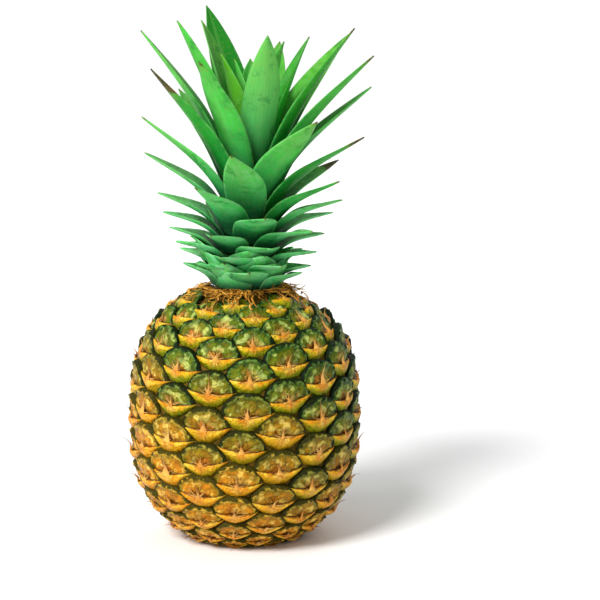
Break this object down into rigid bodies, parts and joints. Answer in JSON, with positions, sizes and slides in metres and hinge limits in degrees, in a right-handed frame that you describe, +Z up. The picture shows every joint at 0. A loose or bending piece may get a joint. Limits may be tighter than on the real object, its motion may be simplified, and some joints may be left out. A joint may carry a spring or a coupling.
{
  "type": "pineapple",
  "caption": "Whole fresh pineapple standing upright on its flat base, with a scaly barrel-shaped fruit and a tall crown of pointed leaves.",
  "frame": {"origin": "Middle of the bounding box in X and Y, at the height of the flat base that the pineapple stands on. The crown spreads unevenly, so the fruit's own axis stands 4.8 mm towards -X and 0.9 mm towards -Y from it.", "axes": "+Z is up, from the flat base to the crown's tip. The front, the side with the broad light leaf in the crown's middle, faces -Y. The crown leans 3.4 degrees towards +X."},
  "size_m": [0.1244, 0.1182, 0.2767],
  "materials": {
    "rind": "semi-gloss, bumpy",
    "stalk": "matte, dry fibres",
    "crown_stem": "matte",
    "leaf": "satin, waxy"
  },
  "bodies": {
    "root": {"fruit": "rind", "cut_stalk": "stalk", "crown_stem": "crown_stem", "crown_leaf_01": "leaf", "crown_leaf_02": "leaf", "crown_leaf_03": "leaf", "crown_leaf_04": "leaf", "crown_leaf_05": "leaf", "crown_leaf_06": "leaf", "crown_leaf_07": "leaf", "crown_leaf_08": "leaf", "crown_leaf_09": "leaf", "crown_leaf_10": "leaf", "crown_leaf_11": "leaf", "crown_leaf_12": "leaf", "crown_leaf_13": "leaf", "crown_leaf_14": "leaf", "crown_leaf_15": "leaf", "crown_leaf_16": "leaf", "crown_leaf_17": "leaf", "crown_leaf_18": "leaf", "crown_leaf_19": "leaf", "crown_leaf_20": "leaf", "crown_leaf_21": "leaf", "crown_leaf_22": "leaf", "crown_leaf_23": "leaf", "crown_leaf_24": "leaf", "crown_leaf_25": "leaf", "crown_leaf_26": "leaf", "crown_leaf_27": "leaf", "crown_leaf_28": "leaf", "crown_leaf_29": "leaf", "crown_leaf_30": "leaf", "crown_leaf_31": "leaf", "crown_leaf_32": "leaf", "crown_leaf_33": "leaf", "crown_leaf_34": "leaf", "crown_leaf_35": "leaf", "crown_leaf_36": "leaf", "crown_leaf_37": "leaf", "crown_leaf_38": "leaf", "crown_leaf_39": "leaf", "crown_leaf_40": "leaf", "crown_leaf_41": "leaf", "crown_leaf_42": "leaf", "crown_leaf_43": "leaf", "crown_leaf_44": "leaf", "crown_leaf_45": "leaf", "crown_leaf_46": "leaf", "crown_leaf_47": "leaf", "crown_leaf_48": "leaf", "crown_leaf_49": "leaf", "crown_leaf_50": "leaf", "crown_leaf_51": "leaf", "crown_leaf_52": "leaf", "crown_leaf_53": "leaf", "crown_leaf_54": "leaf", "crown_leaf_55": "leaf", "crown_leaf_56": "leaf", "crown_leaf_57": "leaf"}
  },
  "joints": []
}
